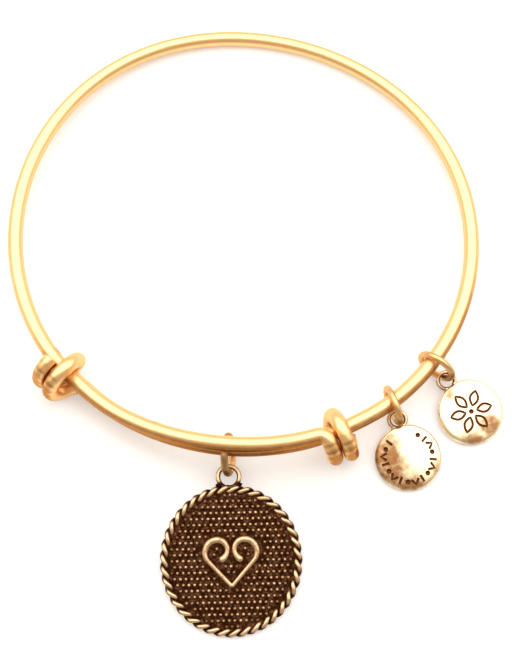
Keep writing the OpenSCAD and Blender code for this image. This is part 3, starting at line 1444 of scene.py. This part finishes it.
@dataclass(frozen=True)
class MedallionWear:
    """How far the medallion's relief is rubbed bare, 0 in the recesses and 1 on the tips.

    Names in z are ramps over the height, and names in rise are ramps over how far the
    surface faces up. The ones near the rope and near the scroll dim the grains' worn tops
    next to the raised rope and scroll: painted shade. The bail's hole ramp darkens the bail
    round its hole: painted shade.
    """

    floor: float = 0.12
    floor_slack: float = 0.01
    crest_rise: Ramp = Ramp(0.12, 0.95)
    crest_z: Ramp = Ramp(0.78, 1.08)
    # Painted shade on the grains next to the raised rope and scroll.
    rope_side_shade: Ramp = Ramp(0.86, 1.0, 1.0, -0.7)
    scroll_side_shade: Ramp = Ramp(0.3, 1.0, 0.35, 0.65)
    grain_side_z: Ramp = Ramp(0.02, 0.16, 0.1, 0.24)
    grain_top_z: Ramp = Ramp(0.15, 0.22, 0.0, 0.54)
    ornament_z: Ramp = Ramp(0.06, 0.3, 0.2, 0.62)
    ornament_reach: tuple[float, float] = (0.05, 0.02)
    bail_floor: float = 0.08
    bail_rise: Ramp = Ramp(0.2, 0.9, 0.35, 0.55)
    # Painted shade in the bail's hole.
    bail_hole_shade: Ramp = Ramp(0.02, 0.2)
    bail_foot: Ramp = Ramp(0.7, 1.25)


@dataclass
class Medallion:
    """The cast oval medallion with its rope border, grained ground and scroll heart."""

    width: float = 18.7
    height: float = 19.7
    rope_d: float = 1.2
    rope_strokes: int = 39
    rope_phase: float = 20.0
    rope_sides: int = 16
    stroke_steps: int = 11
    plate_t: float = 0.8
    plate_z: float = 0.06
    plate_steps: int = 128
    grain_step: float = 0.74
    grain_row_share: float = 1.04
    grain_h: float = 0.22
    grain_turn: float = -0.8
    grain_r: float = 0.36
    rope_to_grains: float = 0.14
    scroll_to_grains: float = 0.3
    scroll: Scroll = Scroll()
    ornament_h: float = 0.5
    stroke_w: float = 0.88
    stroke_sides: int = 20
    end_balls: tuple[float, float] = (1.02, 0.99)
    solder_x: float = 1.36
    solder_z: float = 0.5
    solder_size: Triple = (0.42, 0.26, 0.3)
    bail: Bail = Bail(outer_d=3.42, wire_d=0.6, out=10.88, z=0.6)
    wear: MedallionWear = MedallionWear()
    edge_slack: float = 0.02
    section_slack: float = 0.01
    centre_slack: float = 0.01
    crease: float = 45.0
    place: LyingPlace = LyingPlace(
        x=-1.42, y=-44.64, direction=92.0, lean=4.5, reach=9.25, edge_r=0.6
    )

    @property
    def half_w(self) -> float:
        """Half the width along the rope's middle."""
        return (self.width - self.rope_d) / 2

    @property
    def half_h(self) -> float:
        """Half the height along the rope's middle."""
        return (self.height - self.rope_d) / 2

    def rope(self) -> Piece:
        """Lays the rope round the border.

        The rope has an odd number of strokes, so its two strands are one wire, which goes
        round the border twice.

        Returns:
            The rope.
        """
        strand_r = self.rope_d / 4
        steps = self.rope_strokes * self.stroke_steps * 2
        points = []
        for i in range(steps):
            a = 2 * math.tau * i / steps
            b = self.rope_strokes / 2 * a + math.radians(self.rope_phase)
            out = strand_r * math.cos(b)
            level = self.rope_d / 2 + strand_r * math.sin(b)
            x, y = (self.half_w + out) * math.cos(a), (self.half_h + out) * math.sin(a)
            points.append(Vector((x, y, level)) * MM)
        return rolled_wire(points, strand_r * MM, "rope", self.rope_sides, closed=True)

    def plate(self) -> Piece:
        """Extrudes the oval plate behind the ground.

        Returns:
            The plate.
        """
        clear_selection()
        bpy.ops.mesh.primitive_circle_add(
            vertices=self.plate_steps, radius=MM, fill_type="NGON"
        )
        plate = named("plate")
        plate.scale = (self.half_w, self.half_h, 1)
        plate.location = (0, 0, self.plate_z * MM)
        settle()
        edit_all()
        rise = (self.plate_t - self.plate_z) * MM
        bpy.ops.mesh.extrude_region_move(TRANSFORM_OT_translate={"value": (0, 0, rise)})
        close_up(plate)
        return plate

    def ornament(self) -> list[Piece]:
        """Rolls the two scrolls of the heart, each with a ball at both ends.

        Returns:
            The scrolls and their balls.
        """
        level = self.plate_t + self.ornament_h - self.stroke_w / 2
        half = self.stroke_w / 2
        line, shares = self.scroll.stroke()
        made = []
        for side in (1, -1):
            points = [Vector((p.x * side, p.y, level)) for p in line]
            wire = [p * MM for p in points]
            made.append(rolled_wire(wire, half * MM, "scroll", self.stroke_sides, swell=shares))
            for index, size in zip((0, -1), self.end_balls):
                r = half * shares[index] * size
                made.append(ball("scroll_end", points[index], Vector((r, r, r))))
        return made

    def solder(self) -> list[Piece]:
        """Models the two lumps of solder where the bail's feet meet the rope."""
        y = self.half_h + self.rope_d / 2
        places = [Vector((self.solder_x * side, y, self.solder_z)) for side in (1, -1)]
        return [ball("solder", at, Vector(self.solder_size)) for at in places]

    def grains(self) -> Piece:
        """Covers the ground with small round grains in staggered rows.

        Returns:
            All the grains as one object.
        """
        row = self.grain_step * self.grain_row_share
        clear_selection()
        bpy.ops.mesh.primitive_uv_sphere_add(
            segments=8, ring_count=6, radius=self.grain_r * MM
        )
        grain = named("grains")
        grain.location = (0, 0, (self.plate_t + self.grain_h - self.grain_r) * MM)
        settle()
        count = len(grain.data.vertices)
        across = int(self.width / self.grain_step / 2) + 1
        for name, steps, offset in (
            ("rows", 2, (self.grain_step / 2, row, 0)),
            ("columns", 2 * across + 1, (self.grain_step, 0, 0)),
            ("field", across + 1, (0, 2 * row, 0)),
        ):
            repeat = grain.modifiers.new(name, "ARRAY")
            repeat.count = steps
            repeat.use_relative_offset = False
            repeat.use_constant_offset = True
            repeat.constant_offset_displace = Vector(offset) * MM
            bpy.ops.object.modifier_apply(modifier=repeat.name)
        corner = Vector((-across * self.grain_step, -(across // 2 * 2 + 1) * row, 0))
        turn = Matrix.Rotation(math.radians(self.grain_turn), 4, "Z")
        place(grain, turn @ Matrix.Translation(corner * MM))
        centres = vertices_of(grain).reshape(-1, count, 3).mean(axis=1)
        gone = self.ground_share(centres) > 1
        gone |= self.off_scroll(centres) < self.scroll_to_grains
        delete_vertices(grain, np.repeat(gone, count))
        log.info("%d grains", int((~gone).sum()))
        return grain

    def ground_share(self, p: np.ndarray) -> np.ndarray:
        """Returns where points lie between the middle, 0, and the ground's edge, 1."""
        edge = self.rope_d / 2 + self.rope_to_grains
        return np.hypot(p[:, 0] / (self.half_w - edge), p[:, 1] / (self.half_h - edge))

    def off_scroll(self, p: np.ndarray) -> np.ndarray:
        """Returns how far points lie outside the ornament's strokes."""
        folded = np.stack([np.abs(p[:, 0]), p[:, 1]], axis=1)
        return distance_to_line(folded, self.scroll.stroke()[0]) - self.stroke_w / 2

    def relief(self, piece: Piece) -> np.ndarray:
        """Works out how far each vertex is rubbed bare, with painted shade beside the raised relief
        and in the bail's hole.

        Args:
            piece: The medallion, still flat.

        Returns:
            0 in the recesses and 1 on the tips, for each vertex.
        """
        wear, edge = self.wear, self.rope_d / 2
        p, rise = vertices_of(piece), rise_of(piece)
        above = p[:, 2] - self.plate_t
        off_scroll = self.off_scroll(p)
        # Grains next to the raised rope and scroll are darkened: painted shade.
        open_ground = wear.rope_side_shade.of(self.ground_share(p)) * wear.scroll_side_shade.of(off_scroll)
        grain = wear.grain_side_z.of(above) + wear.grain_top_z.of(above) * open_ground
        beside, over = wear.ornament_reach
        on_figure = (above > self.grain_h + over) | (off_scroll < beside)
        level = np.where(on_figure, wear.ornament_z.of(above), grain)

        around = np.hypot(p[:, 0] / self.half_w, p[:, 1] / self.half_h)
        out = np.hypot(p[:, 0], p[:, 1]) * (1.0 - 1.0 / np.maximum(around, self.centre_slack))
        section = np.hypot(out, p[:, 2] - edge)
        on_rope = np.abs(out) < edge + self.edge_slack
        on_rope &= section < edge + self.section_slack
        crest = wear.crest_rise.of(rise) * wear.crest_z.of(p[:, 2])
        level = np.where(on_rope, wear.floor + (1.0 - wear.floor) * crest, level)
        level = np.where(np.abs(above) < wear.floor_slack, wear.floor, level)

        # The bail darkens towards its hole: painted shade.
        bail = wear.bail_rise.of(rise) * self.bail.from_hole(p, wear.bail_hole_shade)
        bail = wear.bail_floor + bail * wear.bail_foot.of(p[:, 1], self.half_h)
        return np.where(out > edge + self.edge_slack, bail, level)

    def build(self) -> Piece:
        """Models the medallion, fuses it into one body and lays it on the table.

        Returns:
            The medallion.
        """
        body = self.plate()
        parts = [self.rope(), self.grains(), *self.ornament(), *self.solder()]
        for part in [*parts, self.bail.build()]:
            fuse(body, part, Fusing.ADD)
        body.name = "oval_charm"
        smooth(body, self.crease)
        write_mask(body, "relief", self.relief(body))
        place(body, self.place.matrix())
        return body

    def dress(self, body: Piece, finishes: Finishes) -> None:
        """Gives the medallion its patina and its place on the object.

        Args:
            body: The medallion.
            finishes: The bangle's materials.
        """
        coat(body, finishes.antiqued(MEDALLION_ANTIQUE))
        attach(body, "root")
        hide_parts("medallion")


class Marks(Enum):
    """What is stamped on a tag's face."""

    BORDER = "dots, bars and chevrons in turn round the rim"
    LEAVES = "six leaves round a dot"


@dataclass
class StampedTag:
    """A small round tag with a rolled rim, a slightly domed face and a bail.

    Its marks are stamped by punches: dots, and grooves with round bottoms. Its tarnish is
    in patches, which are placed from its centre and are partly painted shade. The ramps
    give how bright it is rubbed, 0 in the stamped marks and 1 on the bare face; they also
    paint shade low on its side and round its bail's hole.
    """

    name: str
    node: str
    marks: Marks
    place: LyingPlace
    patches: tuple[Spot, ...]
    diameter: float = 8.9
    thickness: float = 0.95
    dome: float = 0.14
    rim_round: float = 0.5
    rim_steps: int = 9
    rim_step_turn: float = 10.5
    face_steps: int = 14
    foot_round: float = 0.25
    foot_bow: tuple[float, float] = (0.08, 0.06)
    round_steps: int = 128
    crease: float = 35.0
    bail: Bail = Bail(outer_d=2.84, wire_d=0.54, out=5.3, z=0.475)

    stamp_w: float = 0.36
    stamp_depth: float = 0.18
    stamp_sides: int = 12
    groove_up: float = 0.02
    dot_w_share: float = 0.95
    dot_depth_share: float = 1.2
    mark_in: float = 1.2
    mark_count: int = 17
    mark_first_turn: float = -38.0
    mark_turn: float = -17.75
    mark_half_h: float = 0.5
    chevron_top: float = 0.45
    chevron_slope: float = 1.5
    leaf_length: float = 2.0
    leaf_width: float = 1.1
    leaf_out: float = 1.85
    leaf_points: int = 28
    leaf_count: int = 6
    leaf_first_turn: float = 10.0

    sunk: Ramp = Ramp(0.03, 0.1)
    side_share: float = 0.55
    # Painted shade low on the tag's side, next to the table.
    side_shade: float = 0.6
    rim_line_in: Ramp = Ramp(-0.3, -0.08)
    rim_line_out: Ramp = Ramp(0.0, 0.14, 1.0, -1.0)
    rim_line_dark: float = 0.25
    # Painted shade in the bail's hole.
    bail_hole_shade: Ramp = Ramp(0.03, 0.28, 0.1, 0.55)
    bail_z: Ramp = Ramp(0.35, 0.6, 0.5, 0.5)
    bail_from: float = 0.02
    rubbed_rim: Ramp = Ramp(-0.5, -0.25, 1.0, -0.5)
    dullest: float = 0.45

    def blank(self) -> Piece:
        """Spins the tag's profile into a disc.

        Returns:
            The disc.
        """
        r, round_r = self.diameter / 2, self.rim_round
        bow_in, bow_up = self.foot_bow
        profile = [(0.0, 0.0), (r - self.foot_round, 0.0), (r - bow_in, bow_up)]
        profile += [(r, self.foot_round)]
        for i in range(self.rim_steps):
            a = math.radians(i * self.rim_step_turn)
            level = self.thickness - round_r + round_r * math.sin(a)
            profile.append((r - round_r + round_r * math.cos(a), level))
        edge_r, edge_z = profile[-1]
        for i in range(1, self.face_steps + 1):
            x = 1 - i / self.face_steps
            rise = self.thickness + self.dome - edge_z
            profile.append((edge_r * x, edge_z + rise * (1 - x * x)))
        disc = drawn_line([Vector((x, 0, z)) * MM for x, z in profile], self.name)
        spin_round(disc, self.round_steps)
        return disc

    def face_z(self, x: float, y: float) -> float:
        """Returns the height of the tag's face over a point, in millimetres."""
        return self.thickness + self.dome * (1 - (x * x + y * y) / (self.diameter / 2) ** 2)

    def dot_punch(self, x: float, y: float) -> Piece:
        """Models a round punch that stands on the face over a point."""
        w, depth = self.stamp_w * self.dot_w_share, self.stamp_depth * self.dot_depth_share
        return ball("dot_punch", Vector((x, y, self.face_z(x, y))), Vector((w, w, depth)))

    def line_punch(self, line: list[Vector], closed: bool) -> Piece:
        """Models a punch that stamps a round-bottomed groove along a line.

        Args:
            line: The groove's line from above, in millimetres.
            closed: Whether its ends meet.

        Returns:
            The punch.
        """
        up = self.groove_up
        points = [Vector((p.x, p.y, self.face_z(p.x, p.y) + up)) * MM for p in line]
        return rolled_wire(points, self.stamp_w / 2 * MM, "line_punch", self.stamp_sides, closed)

    @staticmethod
    def turned(line: list[Vector], turn: float, out: float) -> list[Vector]:
        """Moves a line away from the tag's centre and turns it about that centre.

        Args:
            line: The line, in millimetres.
            turn: Its turn from the tag's bail, anticlockwise in degrees.
            out: Its distance from the centre.

        Returns:
            The moved line.
        """
        spin = Matrix.Rotation(math.radians(turn), 3, "Z")
        return [spin @ (p + Vector((0, out, 0))) for p in line]

    def border_punches(self) -> list[Piece]:
        """Sets out dots, bars and chevrons from the upper right down to the upper left.

        Returns:
            The punches.
        """
        out = self.diameter / 2 - self.mark_in
        across = [self.mark_half_h * k / 2 for k in range(-2, 3)]
        bar = [Vector((0, -x, 0)) for x in across]
        slope = self.chevron_slope
        chevron = [Vector((x, self.chevron_top - slope * abs(x), 0)) for x in across]
        made = []
        for i in range(self.mark_count):
            turn = self.mark_first_turn + i * self.mark_turn
            if i % 3 == 0:
                at = self.turned([Vector((0, 0, 0))], turn, out)[0]
                made.append(self.dot_punch(at.x, at.y))
            else:
                line = bar if i % 3 == 1 else chevron
                made.append(self.line_punch(self.turned(line, turn, out), False))
        return made

    def leaf_punches(self) -> list[Piece]:
        """Sets out six leaf outlines round a dot.

        Returns:
            The punches.
        """
        leaf = []
        for i in range(self.leaf_points):
            a = math.tau * i / self.leaf_points
            y = self.leaf_length / 2 * math.cos(a)
            half_w = self.leaf_width / 2 * (1 - (2 * y / self.leaf_length) ** 2)
            leaf.append(Vector((math.copysign(half_w, math.sin(a)), y, 0)))
        made = [self.dot_punch(0, 0)]
        for i in range(self.leaf_count):
            turn = i * 360 / self.leaf_count + self.leaf_first_turn
            made.append(self.line_punch(self.turned(leaf, turn, self.leaf_out), True))
        return made

    def relief(self, piece: Piece) -> np.ndarray:
        """Works out how bright each vertex of the tag is rubbed, with painted shade low on its side
        and in its bail's hole.

        Args:
            piece: The tag, still flat.

        Returns:
            0 in the stamped marks and 1 on the rubbed face, for each vertex.
        """
        p = vertices_of(piece)
        r = np.hypot(p[:, 0], p[:, 1])
        edge = self.diameter / 2
        inner = edge - self.rim_round
        face = self.thickness + self.dome * (1 - (r / edge) ** 2)
        sunk = self.sunk.of(face - p[:, 2]) * (r < inner)
        # Painted shade low on the side, where it meets the table.
        side = 1.0 - ramp_up(p[:, 2], 0.0, self.thickness * self.side_share)
        line = self.rim_line_in.of(r, inner) * self.rim_line_out.of(r, inner)
        dark = np.maximum(np.maximum(sunk, side * self.side_shade), line * self.rim_line_dark)
        # The bail darkens towards its hole: painted shade.
        bail = self.bail.from_hole(p, self.bail_hole_shade) * self.bail_z.of(p[:, 2])
        return np.where(r > edge + self.bail_from, bail, 1.0 - dark)

    def tarnish_and_shade(self, piece: Piece) -> np.ndarray:
        """Works out the tag's tarnish patches, which are partly painted shade.

        Args:
            piece: The tag in its place.

        Returns:
            0 for clean metal and 1 for the darkest tarnish and painted shade, for each vertex.
        """
        p = vertices_of(piece)
        x, y = p[:, 0] - self.place.x, p[:, 1] - self.place.y
        level = np.zeros(len(p))
        for patch in self.patches:
            level = np.maximum(level, patch.cover(x, y))
        return level * self.rubbed_rim.of(np.hypot(x, y), self.diameter / 2)

    def build(self) -> Piece:
        """Models the tag, stamps it and lays it on the table.

        Returns:
            The tag.
        """
        tag = self.blank()
        fuse(tag, self.bail.build(), Fusing.ADD)
        border = self.marks is Marks.BORDER
        for punch in self.border_punches() if border else self.leaf_punches():
            fuse(tag, punch, Fusing.TAKE_AWAY)
        relief = self.relief(tag)
        place(tag, self.place.matrix())
        dulled = np.maximum(relief - self.tarnish_and_shade(tag), np.minimum(relief, self.dullest))
        write_mask(tag, "relief", dulled)
        smooth(tag, self.crease)
        return tag

    def dress(self, tag: Piece, finishes: Finishes) -> None:
        """Gives the tag its finish and its place on the object.

        Args:
            tag: The tag.
            finishes: The bangle's materials.
        """
        coat(tag, finishes.antiqued(TAG_ANTIQUE))
        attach(tag, "root")
        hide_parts(self.node)


# The studio


@dataclass(frozen=True)
class SoftBox:
    """A soft studio light that hangs level and shines down.

    Attributes:
        name: The light's name.
        at: Its place, in metres.
        size: Its width and depth.
        radiance: How bright its face is.
    """

    name: str
    at: Triple
    size: tuple[float, float]
    radiance: float

    def build(self) -> None:
        """Hangs the light."""
        clear_selection()
        bpy.ops.object.light_add(type="AREA", location=self.at)
        lamp = named(self.name)
        lamp.data.shape = "RECTANGLE"
        lamp.data.size, lamp.data.size_y = self.size
        lamp.data.energy = self.radiance * math.pi * self.size[0] * self.size[1]


@dataclass
class Studio:
    """The pale table, the soft lights and the camera over the bangle, in metres."""

    camera_at: Triple = (0.00183, -0.05661, 0.16964)
    camera_tilt: float = 14.5
    lens: float = 46.57
    sensor_h: float = 24.0
    clip_start: float = 0.005
    sky: float = 0.56
    sky_colour: Colour = (1.0, 0.89, 0.74)
    table_w: float = 3.0
    table_colour: Colour = (0.66, 0.645, 0.63)
    table_rough: float = 0.75
    table_glow: float = 0.32
    table_glow_colour: Colour = (1.0, 0.98, 0.96)
    lights: tuple[SoftBox, ...] = (
        SoftBox(name="top_light", at=(0.0, 0.225, 0.45), size=(1.5, 0.65), radiance=2.2),
        SoftBox(name="back_light", at=(0.0, 1.0, 0.45), size=(2.6, 0.9), radiance=0.95),
        SoftBox(name="left_light", at=(-1.2, 0.1, 0.45), size=(0.9, 0.9), radiance=0.85),
        SoftBox(name="right_light", at=(1.2, 0.1, 0.45), size=(0.9, 0.9), radiance=0.85),
    )

    def table(self) -> None:
        """Lays the pale table top, which glows a little: painted light that lifts the shadows on
        it.
        """
        clear_selection()
        bpy.ops.mesh.primitive_plane_add(size=self.table_w, location=(0, 0, 0))
        table = named("table")
        material = bpy.data.materials.new("table_white")
        material.use_nodes = True
        shader = material.node_tree.nodes["Principled BSDF"]
        shader.inputs["Base Color"].default_value = (*self.table_colour, 1.0)
        shader.inputs["Roughness"].default_value = self.table_rough
        # The glow is painted light that lifts the shadows on the table.
        shader.inputs["Emission Color"].default_value = (*self.table_glow_colour, 1.0)
        shader.inputs["Emission Strength"].default_value = self.table_glow
        table.data.materials.append(material)

    def camera(self) -> None:
        """Places the camera at the photograph's angle."""
        clear_selection()
        bpy.ops.object.camera_add(
            location=self.camera_at, rotation=(math.radians(self.camera_tilt), 0, 0)
        )
        camera = named("camera")
        camera.data.sensor_fit = "VERTICAL"
        camera.data.sensor_height = self.sensor_h
        camera.data.lens = self.lens
        camera.data.clip_start = self.clip_start
        bpy.context.scene.camera = camera

    def sky_light(self) -> None:
        """Gives the studio an even warm surrounding."""
        world = bpy.data.worlds.new("studio")
        bpy.context.scene.world = world
        world.use_nodes = True
        background = world.node_tree.nodes["Background"]
        background.inputs["Color"].default_value = (*self.sky_colour, 1.0)
        background.inputs["Strength"].default_value = self.sky

    def build(self) -> None:
        """Sets up the whole studio."""
        bpy.context.scene.view_settings.view_transform = "Standard"
        self.camera()
        self.table()
        self.sky_light()
        for light in self.lights:
            light.build()


def rings() -> tuple[JumpRing, ...]:
    """Sets out the jump rings.

    Returns:
        The ring of the medallion, of the left tag and of the right tag.
    """
    small = {
        "slot": "small_ring",
        "plate": SMALL_RING_PLATE,
        "outer_d": 5.7,
        "wire_d": 0.9,
        "shade_in_bail": 0.75,
        "worn_top": 0.15,
    }
    return (
        JumpRing(
            name="ring_of_medallion",
            node="medallion_ring",
            slot="antique_ring",
            plate=DARK_RING_PLATE,
            x=-1.83,
            y=-31.0,
            direction=-92.6,
            lean=11.1,
            outer_d=5.9,
            wire_d=1.0,
            shade_in_bail=1.0,
            worn_top=0.85,
        ),
        JumpRing("ring_of_left_tag", "left_tag_ring", x=20.2, y=-24.4, direction=-70.0,
                 lean=0.0, **small),
        JumpRing("ring_of_right_tag", "right_tag_ring", x=26.17, y=-19.02, direction=-36.3,
                 lean=-8.6, **small),
    )


def tags() -> tuple[StampedTag, ...]:
    """Sets out the tags.

    Returns:
        The left tag and the right one.
    """
    reach = StampedTag.diameter / 2 - StampedTag.foot_round
    far_edge = {"lean": 6.3, "reach": reach, "edge_r": 0.0}
    # The patches are tarnish, partly painted shade.
    left_patches = (
        Spot(x=-5.8, y=-1.2, radius=7.6, depth=1.0),
        Spot(x=0.2, y=-6.6, radius=5.6, depth=0.95),
        Spot(x=6.2, y=-1.8, radius=4.0, depth=0.7),
        Spot(x=-5.4, y=3.4, radius=4.2, depth=0.8),
    )
    right_patches = (
        Spot(x=2.6, y=-1.9, radius=2.4, depth=0.7),
        Spot(x=0.3, y=-5.6, radius=3.8, depth=0.8),
        Spot(x=-2.7, y=2.1, radius=1.3, depth=0.45),
        Spot(x=-5.6, y=0.0, radius=2.2, depth=0.7),
    )
    left_place = LyingPlace(x=22.2, y=-31.05, direction=105.3, **far_edge)
    right_place = LyingPlace(x=30.75, y=-24.84, direction=127.2, **far_edge)
    return (
        StampedTag("left_disc", "left_tag", Marks.BORDER, left_place, left_patches),
        StampedTag("right_disc", "right_tag", Marks.LEAVES, right_place, right_patches),
    )


def main() -> None:
    """Builds every piece of the bangle on its CAD frame, and the studio round it."""
    logging.basicConfig(level=logging.INFO, format="%(message)s")
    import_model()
    Studio().build()
    finishes = Finishes()

    for piece in (BangleWire(), *rings(), Medallion(), *tags()):
        made = piece.build()
        piece.dress(made, finishes)
        log.info("%s: %d faces", made.name, len(made.data.polygons))


if __name__ == "__main__":
    main()
